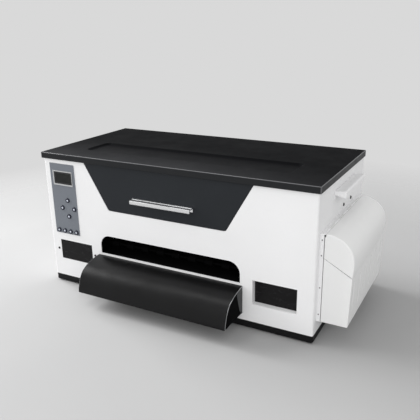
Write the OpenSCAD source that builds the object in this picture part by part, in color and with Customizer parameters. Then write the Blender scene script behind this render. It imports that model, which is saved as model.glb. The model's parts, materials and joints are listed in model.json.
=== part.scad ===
// Desktop roll-fed film printer: sheet-metal case, lifting lid with front flap,
// curved output guide, side ink tank unit, and the print mechanism inside.
// Units are millimetres, +Z up, the front looks towards -Y.
// Origin: centre of the bounding box in X and Y, at the height the feet stand on.

/* [Case] */
// Width of the white case
case_w = 691.2; // [680:0.4:700]
// Depth of the white case, front face to back face
case_d = 341; // [338:1:344]
// Height of the case's top edge above the tray's underside
case_top = 322.2; // [320:0.2:324]
// Height of the black base tray
tray_h = 15.8; // [14:0.2:18]
// Sheet thickness of the case panels
sheet_t = 2; // [1.6:0.2:2]
// Height of the rubber feet
foot_h = 3; // [2:0.5:6]

/* [Lid] */
// How far the lid stands out past the case at the front and the sides
lid_over = 4.4; // [3:0.2:6]
// Height of the lid's edge
lid_h = 14.5; // [14:0.5:16]
// Depth of the shallow recess in the lid's top
lid_recess = 4; // [2:0.5:5]
// Height of the flap's lower edge above the tray's underside
flap_low = 213.5; // [210:0.5:220]
// Gap between the flap and the notch it closes
flap_gap = 0.8; // [0.6:0.1:1.2]

/* [Front openings] */
// Height of the film outlet's top edge
outlet_top = 147.7; // [140:0.5:152]
// Height of the film outlet's lower edge
outlet_low = 101; // [101:0.5:104]
// Corner radius of the film outlet
outlet_r = 27; // [15:1:30]
// Depth of the right window's recess
recess_d = 13.5; // [8:0.5:16]

/* [Output guide] */
// Left end of the output guide
guide_x0 = -197.6; // [-200:0.2:-194]
// Right end of the output guide
guide_x1 = 187.9; // [184:0.1:190]
// Sheet thickness of the output guide
guide_t = 1.5; // [1:0.1:2]

/* [Keys] */
// Radius of a key
key_r = 5.6; // [5:0.1:5.7]
// How far a key stands out of its plate
key_out = 2.8; // [1.5:0.1:4]

/* [Ink tank unit] */
// Length of the tank unit, front to back
tank_len = 284; // [282:0.4:286]
// Wall thickness of the tank unit's shells
tank_t = 2.5; // [2:0.1:3]

/* [Mechanism] */
// Radius of the carriage guide rod
rod_r = 5; // [4:0.5:6]
// Radius of the feed roller
feed_r = 9; // [9:0.5:9]
// Radius of the pinch rollers
pinch_r = 5; // [4:0.5:5]
// Radius of the film spindle
spindle_r = 10; // [8:0.5:12]

/* [Hidden] */
$fn = 64;

hw = case_w / 2;                       // half width of the case
hi = hw - sheet_t;                     // inner face of the side panels
tank_out = 69.6;                       // how far the tank unit stands out
handle_out = 25.3;                     // how far a carry handle stands out
guide_out = 83.7;                      // how far the output guide stands out
back_out = 344.5;                      // rearmost point, the lid hinge barrels
ox = -(tank_out - handle_out) / 2;     // shift that centres the whole in X
oy = -(back_out - guide_out) / 2;      // shift that centres the whole in Y
lid_x = hw + lid_over;                 // half width of the lid
lid_y0 = -lid_over;
lid_y1 = 336.1;
lid_top = case_top + lid_h;

white = [0.93, 0.93, 0.92];
near_black = [0.08, 0.08, 0.09];
slate = [0.16, 0.17, 0.18];
steel = [0.7, 0.71, 0.73];

// ---------- helpers ----------
module place() translate([ox, oy, foot_h]) children();
// a flat shape drawn in X and Z, thickened from y = 0 to y = t
module xz(t) translate([0, t, 0]) rotate([90, 0, 0]) linear_extrude(t) children();
// a flat shape drawn in Y and Z, thickened from x = 0 to x = t
module yz(t) rotate([90, 0, 90]) linear_extrude(t) children();
module box(x0, x1, y0, y1, z0, z1) translate([x0, y0, z0]) cube([x1 - x0, y1 - y0, z1 - z0]);
module ycyl(x, z, y0, y1, r) translate([x, y1, z]) rotate([90, 0, 0]) cylinder(h = y1 - y0, r = r);
module xcyl(y, z, x0, x1, r) translate([x0, y, z]) rotate([0, 90, 0]) cylinder(h = x1 - x0, r = r);
module rrect(x0, x1, y0, y1, r) {
  translate([x0 + r, y0]) square([x1 - x0 - 2 * r, y1 - y0]);
  translate([x0, y0 + r]) square([x1 - x0, y1 - y0 - 2 * r]);
  for (x = [x0 + r, x1 - r], y = [y0 + r, y1 - r]) translate([x, y]) circle(r);
}
function cr(p0, p1, p2, p3, t) = 0.5 * ((2 * p1) + (p2 - p0) * t + (2 * p0 - 5 * p1 + 4 * p2 - p3) * t * t
  + (3 * p1 - p0 - 3 * p2 + p3) * t * t * t);
// smooth open curve through points, n pieces between neighbours
function smooth(p, n) = [for (i = [0 : len(p) - 2], k = [0 : n - 1])
  cr(p[max(i - 1, 0)], p[i], p[i + 1], p[min(i + 2, len(p) - 1)], k / n), p[len(p) - 1]];
function unit(v) = v / norm(v);
// the same curve moved sideways by d (to the right of its direction)
function beside(p, d) = [for (i = [0 : len(p) - 1])
  let (a = p[max(i - 1, 0)], b = p[min(i + 1, len(p) - 1)], u = unit(b - a)) p[i] + d * [u[1], -u[0]]];
function rev(p) = [for (i = [len(p) - 1 : -1 : 0]) p[i]];
// corner arc
function arc(c, r, a0, a1, n) = [for (i = [0 : n]) c + r * [cos(a0 + (a1 - a0) * i / n), sin(a0 + (a1 - a0) * i / n)]];
// straight-sided gear teeth
function gear(n, m, slack) = let (rp = n * m / 2, ro = rp + 0.9 * m, ri = rp - 1.25 * m, p = 360 / n,
  wt = p * 0.13, wp = p * (0.25 - slack), wr = p * 0.36)
  [for (i = [0 : n - 1]) for (q = [[ri, -wr], [rp, -wp], [ro, -wt], [ro, wt], [rp, wp], [ri, wr]])
    q[0] * [cos(i * p + q[1]), sin(i * p + q[1])]];

// ---------- shared outlines ----------
// trapezoid of the flap, grown by g
function flap_points(g) = let (zb = flap_low - g, xl = -157.6 - 1.15 * g, xr = 146.9 + 1.15 * g,
  tl = -222.6 - 1.15 * g, tr = 210.9 + 1.15 * g, zt = case_top)
  concat([[tl, zt]], [[xl - 3.2, zb + 4.9], [xl - 1.2, zb + 1.9], [xl + 1.9, zb + 0.3], [xl + 5.5, zb]],
         [[xr - 5.5, zb], [xr - 1.9, zb + 0.3], [xr + 1.2, zb + 1.9], [xr + 3.2, zb + 4.9]], [[tr, zt]]);
// key centres in X and Z
keys_at = [[-281.2, 221.3], [-299.6, 200.8], [-262.8, 200.8], [-281.2, 180.3],
           [-318.0, 140.6], [-299.6, 140.6], [-281.2, 140.6], [-262.8, 140.6]];
win_screws = [[-326.8, 88.8], [-210.6, 88.8]];
handle_screws = [[178.6, 248], [235.6, 248]];
// guide profile: distance out of the front face, height
guide_line = smooth([[0, 96], [10, 95.4], [20, 94], [32, 91.6], [44, 88.2], [54, 84.4], [63, 79.2],
                     [70.5, 71], [76.4, 59.6], [80.6, 47], [83, 38.4], [83.7, 31]], 4);
// tank cover's outer profile: distance out of the case side, height
cover_line = smooth([[11.7, 236.4], [19, 236.3], [27, 235], [34.5, 232.2], [46.4, 226.5], [57.3, 216.9], [64.4, 205.6],
                     [68.2, 193.6], [69.4, 182.3], [69.5, 172.3], [68.8, 162.5], [67.6, 151]], 3);
tank_y0 = 18;
tank_y1 = tank_y0 + tank_len;
tank_pitch = tank_len / 6;
tank_ys = [for (i = [0 : 5]) tank_y0 + tank_pitch * (i + 0.5)];
cover_ax = [9.4, 236.2];
tube_z = 58;
plate_out = 8;                         // thickness of the tank unit's back plate
knuckle = tank_len / 9;                // one leaf of the cover's long hinge
rod_at = [105, 190];
feed_at = [150, 112];
pinch_at = [150, 112 + feed_r + pinch_r + 0.4];
exit_at = [48, 110];
pinion_at = [186.3, 112];
spin_at = [268, 215];
hinge_at = [340.5, 327.5];
pulley_x = 300;
pulley_z = 180;
fan_at = [-270, 150];

// ---------- case ----------
module base_tray() color(near_black) place() difference() {
  linear_extrude(tray_h) rrect(-hw, hw, 0, case_d, 5);
  translate([0, 0, 2]) linear_extrude(tray_h) rrect(-hw + 3, hw - 3, 3, case_d - 3, 3);
}
module rubber_feet() color([0.1, 0.1, 0.1]) place()
  for (x = [-300, 300], y = [42, 300]) translate([x, y, -foot_h]) cylinder(h = foot_h, r1 = 12, r2 = 14);

module front_panel() color(white) place() difference() {
  union() {
    translate([-hw + 3.5, 0, tray_h]) cube([case_w - 7, sheet_t, case_top - tray_h]);
    // rounded corners and side returns
    for (s = [-1, 1]) translate([0, 0, tray_h]) linear_extrude(case_top - tray_h) {
      intersection() {
        translate([s * (hw - 3.5), 3.5]) difference() { circle(3.5); circle(3.5 - sheet_t); }
        translate([s > 0 ? hw - 3.5 : -hw, 0]) square(3.5);
      }
      translate([s > 0 ? hi : -hw, 3.5]) square([sheet_t, 8.5]);
    }
    // top flanges beside the notch
    box(-hi, -226, sheet_t, 13, case_top - sheet_t, case_top);
    box(214.4, hi, sheet_t, 13, case_top - sheet_t, case_top);
  }
  // notch for the flap
  translate([0, -1, 0]) xz(sheet_t + 2) polygon(concat([[-223.8, 340]], flap_points(flap_gap), [[212.2, 340]]));
  // film outlet
  translate([0, -1, 0]) xz(sheet_t + 2) {
    translate([-189.6 + outlet_r, outlet_low]) square([371 - 2 * outlet_r, outlet_top - outlet_low]);
    translate([-189.6, outlet_low]) square([371, outlet_top - outlet_low - outlet_r]);
    intersection() {
      for (x = [-189.6 + outlet_r, 181.4 - outlet_r]) translate([x, outlet_top - outlet_r]) circle(outlet_r);
      translate([-200, outlet_low]) square([400, 60]);
    }
  }
  // windows, screen and key holes
  box(-318.6, -219.1, -1, 3, 63, 114);
  box(210.4, 309.4, -1, 3, 58, 114);
  box(-319.4, -259.6, -1, 3, 257, 296);
  for (k = keys_at) ycyl(k[0], k[1], -1, 3, 7.2);
  for (s = win_screws) ycyl(s[0], s[1], -1, 3, 1.65);
}

module side_sheet(tubes) difference() {
  union() {
    box(hi, hw, 12.3, case_d - sheet_t - 0.3, tray_h, case_top);
    box(hi - 10, hi, 14, 318, case_top - sheet_t, case_top);
  }
  for (s = handle_screws) xcyl(s[0], s[1], hi - 1, hw + 1, 2.1);
  if (tubes) for (y = tank_ys) xcyl(y, tube_z, hi - 1, hw + 1, 2.7);
}
module left_side_panel() color(white) place() mirror([1, 0, 0]) side_sheet(false);
module right_side_panel() color(white) place() side_sheet(true);

module rear_panel() color(white) place() difference() {
  box(-hw, hw, case_d - sheet_t, case_d, tray_h, case_top);
  // ring-shaped fan grille
  for (r = [34, 26, 18]) difference() {
    ycyl(fan_at[0], fan_at[1], case_d - 3, case_d + 1, r);
    ycyl(fan_at[0], fan_at[1], case_d - 4, case_d + 2, r - 5);
    for (a = [45, 135]) translate([fan_at[0], case_d, fan_at[1]]) rotate([0, a, 0]) cube([80, 10, 4], center = true);
  }
  // vent slots
  for (x = [150, 240], i = [0 : 6]) box(x, x + 80, case_d - 3, case_d + 1, 60 + i * 11, 64 + i * 11);
  // connector module
  box(-127.3, -16.7, case_d - 3, case_d + 1, 61.7, 94.3);
}

// ---------- control panel ----------
module control_plate() color([0.46, 0.48, 0.52]) place() difference() {
  box(-328.6, -253.6, -1.2, 0, 133, 311.7);
  box(-317.2, -262.0, -2, 1, 261.3, 291.8);
  for (k = keys_at) ycyl(k[0], k[1], -2, 1, 5.95);
}
module screen_bezel() color([0.72, 0.73, 0.74]) place() difference() {
  box(-320.1, -260.6, -2.6, -1.2, 258, 294.2);
  box(-316.9, -262.1, -3, 0, 261.5, 291.6);
}
module screen() color([0.1, 0.11, 0.12]) place() {
  box(-316.7, -262.3, -1.9, 0.3, 261.7, 291.4);
  box(-319, -260, 0.3, 8.9, 257.4, 295.6);
}
module key_board() color([0.1, 0.3, 0.2]) place() {
  box(-326, -256, 9, 10.6, 134, 309);
  for (k = keys_at) box(k[0] - 3, k[0] + 3, 8.2, 9, k[1] - 3, k[1] + 3);
  for (x = [-322.2, -258.6], z = [170, 304]) ycyl(x, z, 2, 9, 2.4);
}
module key_at(i) color([0.12, 0.13, 0.17]) place() translate([keys_at[i][0], 0, keys_at[i][1]]) rotate([90, 0, 0])
  rotate_extrude() polygon([[0, -7], [2, -7], [2, -1.9], [6.7, -1.9], [6.7, -0.4], [key_r, -0.4],
    [key_r, 1.2 + key_out - 0.9], [key_r - 0.9, 1.2 + key_out], [3.1, 1.2 + key_out], [2.6, 0.9 + key_out], [0, 0.9 + key_out]]);
module key_up() key_at(0);
module key_left() key_at(1);
module key_right() key_at(2);
module key_down() key_at(3);
module row_key_1() key_at(4);
module row_key_2() key_at(5);
module row_key_3() key_at(6);
module row_key_4() key_at(7);

// ---------- windows and screws ----------
module left_window_pane() color([0.1, 0.1, 0.11]) place() difference() {
  union() {
    box(-318.4, -219.3, 0, 2, 63.2, 113.8);
    box(-331, -206.4, 2, 4, 58.5, 118.5);
  }
  for (s = win_screws) ycyl(s[0], s[1], -1, 5, 1.65);
}
module right_window_recess() color(white) place() difference() {
  union() {
    box(208.4, 311.4, 2, recess_d + 4, 56, 116);
    box(202, 317.8, 2, 3.6, 50, 122);
  }
  box(210.4, 309.4, 1, recess_d + 5, 58, 114);
}
module right_window_pane() color([0.08, 0.08, 0.09]) place() box(210.4, 309.4, recess_d, recess_d + 2, 58, 114);
module pan_screw(l, r) rotate_extrude() polygon([[0, -l], [r * 0.45, -l], [r * 0.5, -l + 1], [r * 0.5, 0], [r, 0],
  [r, 0.8], [r * 0.8, 1.6], [r * 0.35, 1.9], [r * 0.3, 1.2], [0, 1.2]]);
module case_screws() color([0.1, 0.1, 0.1]) place() {
  for (s = win_screws) translate([s[0], 0, s[1]]) rotate([90, 0, 0]) pan_screw(7, 2.9);
  for (s = handle_screws, m = [-1, 1]) translate([m * hw, s[0], s[1]]) rotate([0, m * 90, 0]) pan_screw(8, 3.9);
}

// ---------- output guide ----------
module guide_shape(t) {
  p = [for (q = guide_line) [-q[0], q[1]]];
  // the curve runs away from the case, so its inner side is on its left
  polygon(concat(p, rev([for (q = beside(p, -t)) [min(q[0], 0), q[1]]])));
}
module output_guide() color(near_black) place() translate([guide_x0, 0, 0]) yz(guide_x1 - guide_x0) {
  guide_shape(guide_t);
  translate([-guide_t, 84]) square([guide_t, 12 - 0.02]);
}
module guide_brackets() color([0.1, 0.1, 0.11]) place() for (s = [0, 1]) {
  p = [for (q = guide_line) [-q[0], q[1]]];
  inner = [for (q = beside(p, -guide_t - 0.15)) if (q[0] < -2.4) [q[0], max(q[1], 31)]];
  // end plate that closes the guide's side
  translate([s == 0 ? guide_x0 + 1.2 : guide_x1 - 2.7, 0, 0])
    yz(1.5) polygon(concat(inner, [[0, 31], [0, 83.8], [-1.7, 83.8], [-1.7, 94]]));
  // stay screwed to it near the case, and its foot on the case
  translate([s == 0 ? guide_x0 + 0.2 : guide_x1 - 1.2, 0, 0])
    yz(1) polygon([[-1.7, 93.4], [-14, 92.2], [-26, 90.2], [-26, 82], [-14, 44], [-4, 31], [0, 31], [0, 83.8], [-1.7, 83.8]]);
  translate([s == 0 ? guide_x0 + 2.7 : guide_x1 - 12.7, -1.8, 31]) cube([10, 1.8, 48]);
}

// ---------- mechanism ----------
module mechanism_side_plates() color(steel) place() for (s = [-1, 1]) difference() {
  union() {
    translate([s > 0 ? 316 : -318, 0, 0]) yz(2) polygon([[30, 2], [230, 2], [230, 150], [206, 212], [80, 212],
      [60, 150], [30, 130]]);
    translate([s > 0 ? 302 : -316, 30, 2]) cube([14, 200, 2]);
  }
  xcyl(rod_at[0], rod_at[1], -330, 330, rod_r + 0.03);
  xcyl(feed_at[0], feed_at[1], -330, 330, 4.05);
  xcyl(exit_at[0], exit_at[1], -330, 330, 3.05);
  if (s < 0) xcyl(pinion_at[0], pinion_at[1], -330, -300, 11.2);
}
module cross_beam() color(steel) place() {
  box(-316, 316, 60, 136, 98, 100);
  box(-316, 316, 60, 62, 70, 98);
  box(-316, 316, 134, 136, 70, 98);
  // chute between the platen and the film outlet
  box(-189, 181, 2.2, 60, 98.6, 100.4);
}
module platen() color([0.12, 0.12, 0.12]) place() difference() {
  union() {
    box(-195, 187, 63, 134, 100, 119);
    for (i = [0 : 23]) box(-190 + i * 16, -188 + i * 16, 66, 131, 119, 120);
  }
  box(-191, 183, 67, 130, 99, 115.6);
  for (y = [76, 98.5, 121]) box(-186, 178, y - 2, y + 2, 117, 121);
}
module guide_rod() color([0.8, 0.8, 0.82]) place() xcyl(rod_at[0], rod_at[1], -318.6, 318.6, rod_r);
module rear_rail() color(steel) place() {
  difference() {
    union() {
      box(-316, 316, 164, 166, 150, 215);
      box(-316, 316, 166, 190, 150, 152);
      box(-316, 316, 166, 190, 213, 215);
    }
    ycyl(pulley_x, pulley_z, 160, 170, 6);
  }
  ycyl(-pulley_x, pulley_z, 148, 164, 2);
}
module drive_belt() color([0.1, 0.1, 0.1]) place() {
  box(-pulley_x, pulley_x, 150, 156, pulley_z + 7.7, pulley_z + 8.9);
  box(-pulley_x, pulley_x, 150, 156, pulley_z - 8.9, pulley_z - 7.7);
  for (s = [-1, 1]) difference() {
    ycyl(s * pulley_x, pulley_z, 150, 156, 8.9);
    ycyl(s * pulley_x, pulley_z, 149, 157, 7.7);
    translate([s > 0 ? pulley_x - 20 : -pulley_x, 149, pulley_z - 10]) cube([20, 8, 20]);
  }
}
module pulley(x) translate([x, 0, pulley_z]) rotate([90, 0, 0]) rotate_extrude()
  polygon([[2.05, -157], [9.5, -157], [9.5, -156.3], [7.4, -156.3], [7.4, -149.7], [9.5, -149.7], [9.5, -149], [2.05, -149]]);
module motor_pulley() color(steel) place() pulley(pulley_x);
module idler_pulley() color([0.85, 0.85, 0.82]) place() pulley(-pulley_x);
module drive_motors() color([0.25, 0.25, 0.26]) place() {
  // carriage motor
  ycyl(pulley_x, pulley_z, 166, 202, 16);
  ycyl(pulley_x, pulley_z, 147.6, 166, 2);
  // feed motor
  difference() {
    box(-315.9, -276, pinion_at[0] - 21, pinion_at[0] + 21, pinion_at[1] - 21, pinion_at[1] + 21);
    for (a = [-1, 1], b = [-1, 1]) translate([-296, pinion_at[0] + a * 21, pinion_at[1] + b * 21]) rotate([45, 0, 0]) cube([60, 6, 6], center = true);
  }
  xcyl(pinion_at[0], pinion_at[1], -318, -315.9, 11);
  xcyl(pinion_at[0], pinion_at[1], -333, -318, 2.5);
}
module feed_roller() color([0.62, 0.63, 0.65]) place() {
  xcyl(feed_at[0], feed_at[1], -200, 192, feed_r);
  xcyl(feed_at[0], feed_at[1], -334, 320, 4);
  translate([-332, feed_at[0], feed_at[1]]) rotate([90, 0, 90]) linear_extrude(6) difference() {
    polygon(gear(60, 1, 0.03));
    circle(3.99);
    for (a = [0 : 60 : 300]) rotate(a) translate([17, 0]) circle(5.5);
  }
}
module feed_pinion() color([0.9, 0.88, 0.8]) place() translate([-332.5, pinion_at[0], pinion_at[1]])
  rotate([90, 0, 90]) linear_extrude(7) rotate(15 + 180) difference() {
    polygon(gear(12, 1, 0.03));
    circle(2.55);
  }
module pinch_bracket() color([0.13, 0.13, 0.13]) place() difference() {
  union() {
    box(-184, 176, 157, 164, 132, 163);
    for (i = [0 : 4]) box(-184 + i * 87.5, -174 + i * 87.5, 145, 164, 123.4, 134);
  }
  xcyl(pinch_at[0], pinch_at[1], -200, 200, 1.56);
}
module pinch_rollers() color([0.2, 0.2, 0.2]) place() {
  xcyl(pinch_at[0], pinch_at[1], -186, 178, 1.5);
  for (i = [0 : 3]) xcyl(pinch_at[0], pinch_at[1], -170 + i * 87.5, -100 + i * 87.5, pinch_r);
}
module exit_roller() color([0.55, 0.56, 0.58]) place() {
  xcyl(exit_at[0], exit_at[1], -319, 319, 3);
  for (i = [0 : 8]) xcyl(exit_at[0], exit_at[1], -188 + i * 43.5, -168 + i * 43.5, 8);
}
module print_carriage() color([0.14, 0.14, 0.15]) place() difference() {
  union() {
    translate([185, 0, 0]) yz(120) polygon([[66, 134], [70, 130], [134, 130], [138, 134], [138, 205], [124, 222], [80, 222], [66, 208]]);
    box(200, 290, 137, 163.6, 202, 210);
    box(235, 255, 137, 158, 166, 176);
  }
  xcyl(rod_at[0], rod_at[1], 180, 310, rod_r + 0.06);
  box(216.6, 273.4, 69.6, 98.4, 120, 150.2);
  box(230, 260, 149.4, 160, 170.5, 172.9);
  for (i = [0 : 5]) box(200 + i * 15.4, 212 + i * 15.4, 84, 120, 216, 230);
}
module print_head() color([0.75, 0.72, 0.62]) place() {
  box(217, 273, 70, 98, 124, 150);
  box(221, 269, 73, 95, 122, 124);
}
module capping_unit() color([0.2, 0.2, 0.21]) place() {
  difference() { box(190, 290, 62.4, 128, 100, 113); box(206, 286, 104, 124, 104, 114); }
  difference() { box(213, 277, 66, 102, 113, 121.5); box(216, 274, 69, 99, 115, 122); }
  box(196, 198.4, 66, 102, 113, 121.4);
}
module spindle_brackets() color(steel) place() for (x = [-208, 195]) difference() {
  union() {
    translate([x, 0, 0]) yz(3) polygon([[238, 2], [298, 2], [290, 228], [282, 236], [254, 236], [246, 228]]);
    translate([x == 195 ? x + 3 : x - 16, 238, 2]) cube([16, 60, 2.5]);
  }
  xcyl(spin_at[0], spin_at[1], x - 5, x + 8, spindle_r + 0.06);
}
module film_spindle() color([0.3, 0.3, 0.32]) place() difference() {
  union() {
    xcyl(spin_at[0], spin_at[1], -222, 204, spindle_r);
    for (x = [-192, 180]) xcyl(spin_at[0], spin_at[1], x, x + 6, 52);
    for (x = [-186, 166]) xcyl(spin_at[0], spin_at[1], x, x + 14, 24);
    xcyl(spin_at[0], spin_at[1], -228, -212, 17);
  }
  xcyl(spin_at[0], spin_at[1], -240, 240, spindle_r - 2.5);
  for (x = [-193, 179], a = [0 : 60 : 300]) translate([x, spin_at[0], spin_at[1]]) rotate([a, 0, 0])
    translate([0, 38, 0]) rotate([0, 90, 0]) cylinder(h = 8, r = 8);
}

// ---------- electrics ----------
module power_supply() color([0.72, 0.73, 0.74]) place() {
  difference() {
    box(-195, -25, 226, 322, 2, 50);
    for (i = [0 : 9]) box(-180 + i * 14, -174 + i * 14, 240, 300, 48.6, 51);
    box(-196, -24, 315, 323, 30, 51);
  }
  box(-170, -50, 315.5, 322, 30, 42);
}
module main_board() color([0.1, 0.3, 0.2]) place() {
  box(0, 185, 215, 330, 10, 11.6);
  for (x = [6, 179], y = [221, 324]) translate([x, y, 2]) cylinder(h = 8, r = 3);
  box(20, 60, 235, 275, 11.6, 26);
  for (i = [0 : 4]) box(80 + i * 20, 94 + i * 20, 218, 226, 11.6, 22);
  box(90, 112, 250, 272, 11.6, 13.6);
  box(130, 160, 250, 262, 11.6, 13.2);
}
module fan_frame() color([0.08, 0.08, 0.08]) place() {
  difference() {
    box(fan_at[0] - 40, fan_at[0] + 40, 314, 339, fan_at[1] - 40, fan_at[1] + 40);
    ycyl(fan_at[0], fan_at[1], 310, 340, 37.6);
  }
  for (a = [0, 90]) translate([fan_at[0], 316, fan_at[1]]) rotate([0, a + 45, 0]) cube([78, 4, 4], center = true);
  ycyl(fan_at[0], fan_at[1], 314, 318, 15);
  ycyl(fan_at[0], fan_at[1], 318, 332, 1.5);
}
module fan_rotor() color([0.12, 0.12, 0.12]) place() difference() {
  union() {
    ycyl(fan_at[0], fan_at[1], 319, 335, 15);
    for (a = [0 : 360 / 7 : 350]) translate([fan_at[0], 327, fan_at[1]]) rotate([0, a, 0]) rotate([0, 0, 0])
      translate([24.5, 0, 0]) rotate([38, 0, 0]) cube([23, 1.6, 19], center = true);
  }
  ycyl(fan_at[0], fan_at[1], 318, 333, 1.56);
}
module power_inlet() color([0.08, 0.08, 0.08]) place() difference() {
  union() {
    box(-127, -17, 339, 341, 62, 94);
    box(-131, -13, 341, 343, 58, 98);
    box(-125, -95, 318, 339, 65, 91);
    box(-76, -54, 320, 339, 65, 91);
    box(-44, -24, 320, 339, 71, 85);
  }
  // mains inlet, rocker opening and data socket
  box(-122, -98, 326, 344, 69.5, 86.5);
  box(-71.6, -58.4, 326, 344, 68.4, 87.8);
  xcyl(334.2, 78, -73.2, -56.8, 1.28);
  box(-40, -28, 330, 344, 75.3, 80.7);
}
module power_switch() color([0.05, 0.05, 0.05]) place() {
  translate([-71.2, 0, 0]) yz(12.4) polygon([[331, 73.4], [336, 69.3], [343.3, 70.2], [342.2, 78], [344.2, 85.1], [336.4, 86.2], [331, 82.6]]);
  xcyl(334.2, 78, -72.8, -57.2, 1.2);
}

// ---------- carry handles ----------
module handle_shape(solid) {
  r = 4;
  o = concat([[0, 299.2]], arc([handle_out - r, 301 - r], r, 90, 0, 5), [[handle_out, 287.6], [handle_out - 1, 286.8], [22.2, 286.8]]);
  if (solid) polygon(concat(o, [[0, 291.6]]));
  else polygon(concat(o, arc([22.2 - 2, 298 - 2], 2, 0, 90, 4), [[2.2, 296.6], [2.2, 283], [0, 283]]));
}
module one_handle() {
  translate([0, 99.6, 0]) rotate([90, 0, 0]) translate([hw, 0, -154]) linear_extrude(154) handle_shape(false);
  for (y = [99.6, 250.4]) translate([0, y + 3.2, 0]) rotate([90, 0, 0]) translate([hw, 0, 0]) linear_extrude(3.2) handle_shape(true);
}
module carry_handles() color(white) place() { one_handle(); mirror([1, 0, 0]) one_handle(); }

// ---------- lid ----------
module lid_shell() color(near_black) place() {
  difference() {
    box(-lid_x, lid_x, lid_y0, lid_y1, case_top, lid_top);
    // inside, under the top skin and round the recess pan
    difference() {
      box(-lid_x + 2.4, lid_x - 2.4, lid_y0 + 2.4, lid_y1 - 2.4, case_top - 1, lid_top - 2.5);
      translate([0, 0, lid_top - lid_recess - 2.5]) linear_extrude(10) rrect(-268, 265, 60.6, 148.6, 15);
    }
    translate([0, 0, lid_top - lid_recess]) linear_extrude(10) rrect(-265, 262, 63.6, 145.6, 12);
    // bevels along the top edges
    for (s = [-1, 1]) translate([s * lid_x, 170, lid_top]) rotate([0, 45, 0]) cube([1.7, 400, 1.7], center = true);
    for (y = [lid_y0, lid_y1]) translate([0, y, lid_top]) rotate([45, 0, 0]) cube([720, 1.7, 1.7], center = true);
  }
  // lower lip that carries the flap
  box(-220, 208, lid_y0 + 2.4, 12, case_top, case_top + 2);
}
module front_flap() color(slate) place() {
  translate([0, 0, 0]) xz(2) polygon(flap_points(0));
  box(-216, 204, 2, 12, case_top - 2.2, case_top);
  box(-150, 140, 2, 9, flap_low, flap_low + 2);
}
module lid_pull() color([0.85, 0.86, 0.87]) place() translate([-84, 0, 0]) yz(155)
  polygon([[0, 244], [0, 254.6], [-6.4, 254.6], [-7.2, 253.4], [-9.4, 253.4], [-10.2, 253.8], [-16, 253.2], [-17, 252],
           [-17, 245.6], [-15.8, 244.4], [-14.6, 245.2], [-14.6, 251], [-2.4, 252], [-2.4, 244]]);

module hinge_fixed_leaves() color(steel) place() for (x = [-250, 250]) {
  difference() {
    union() {
      box(x - 30, x + 30, 341, 342.5, 292, 322.9);
      for (s = [x - 30, x + 15]) {
        box(s, s + 15, 341, 342.5, 322.9, 327.5);
        xcyl(hinge_at[0], hinge_at[1], s, s + 15, 4);
      }
    }
    xcyl(hinge_at[0], hinge_at[1], x - 31, x + 31, 2.05);
  }
  // hinge pin
  xcyl(hinge_at[0], hinge_at[1], x - 31.5, x + 31.5, 2);
  for (s = [x - 32.5, x + 31.5]) xcyl(hinge_at[0], hinge_at[1], s, s + 1, 3);
}
module hinge_moving_leaves() color(steel) place() for (x = [-250, 250]) difference() {
  union() {
    box(x - 14.7, x + 14.7, lid_y1, lid_y1 + 1.5, 323.4, 333);
    box(x - 30, x + 30, lid_y1, lid_y1 + 1.5, 332.6, 335.4);
    xcyl(hinge_at[0], hinge_at[1], x - 14.7, x + 14.7, 4);
  }
  xcyl(hinge_at[0], hinge_at[1], x - 31, x + 31, 2.05);
}

// ---------- ink tank unit ----------
// shapes drawn as distance out of the case side and height, thickened along Y
module tank_slab(y0, y1) translate([hw, y1, 0]) rotate([90, 0, 0]) linear_extrude(y1 - y0) children();
module tank_plate() color(white) place() {
  // hinge pin
  tank_slab(tank_y0 + 0.5, tank_y1 - 0.5) translate(cover_ax) circle(0.9);
  difference() {
  union() {
    tank_slab(tank_y0, tank_y1) polygon([[0, 44], [plate_out, 44], [plate_out, 230], [7.3, 231.5], [7.3, 236.4], [0, 236.4]]);
    // fixed knuckles
    for (i = [0 : 2 : 8]) tank_slab(tank_y0 + i * knuckle + 0.2, tank_y0 + (i + 1) * knuckle - 0.2) {
      translate(cover_ax) circle(1.8);
      translate([7.2, 234.4]) square([2.2, 1.6]);
    }
  }
  for (i = [1 : 2 : 7]) tank_slab(tank_y0 + i * knuckle, tank_y0 + (i + 1) * knuckle) translate(cover_ax) circle(2.05);
  for (y = tank_ys) xcyl(y, tube_z, hw - 1, hw + 10, 2.7);
  }
}
module tank_housing() color([0.94, 0.94, 0.92]) place() difference() {
  union() {
    tank_slab(tank_y0, tank_y1) polygon([[9.2, 44], [63.2, 44], [64.6, 45.2], [67.5, 152.3], [9.2, 184.6]]);
    for (y = [65.3, 254.7], z = [62, 165]) xcyl(y, z, hw + plate_out, hw + 9.2, 5);
  }
  tank_slab(tank_y0 + tank_t, tank_y1 - tank_t)
    polygon([[9.2 + tank_t, 44 + tank_t], [64.7 - tank_t, 44 + tank_t], [67.5 - tank_t, 151], [67.5 - tank_t, 200], [9.2 + tank_t, 200]]);
  // ink level slots
  for (y = tank_ys) {
    box(hw + 59, hw + 72, y - 2.5, y + 2.5, 74.1, 137.1);
    for (z = [74.1, 137.1]) xcyl(y, z, hw + 59, hw + 72, 2.5);
  }
  for (y = tank_ys) xcyl(y, tube_z, hw + 7, hw + 13, 2.7);
}
module ink_reservoirs() color([0.85, 0.86, 0.86]) place() for (y = tank_ys) {
  box(hw + 13, hw + 57, y - 20.4, y + 20.4, 47.5, 143);
  tank_slab(y - 2.2, y + 2.2) polygon([[56, 74.4], [64.1, 74.4], [65.8, 136.8], [56, 136.8]]);
  translate([hw + 35, y, 143]) cylinder(h = 8, r = 8);
  difference() {
    translate([hw + 35, y, 146]) cylinder(h = 12, r = 10.8);
    translate([hw + 35, y, 145]) cylinder(h = 6.01, r = 8.2);
  }
}
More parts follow.
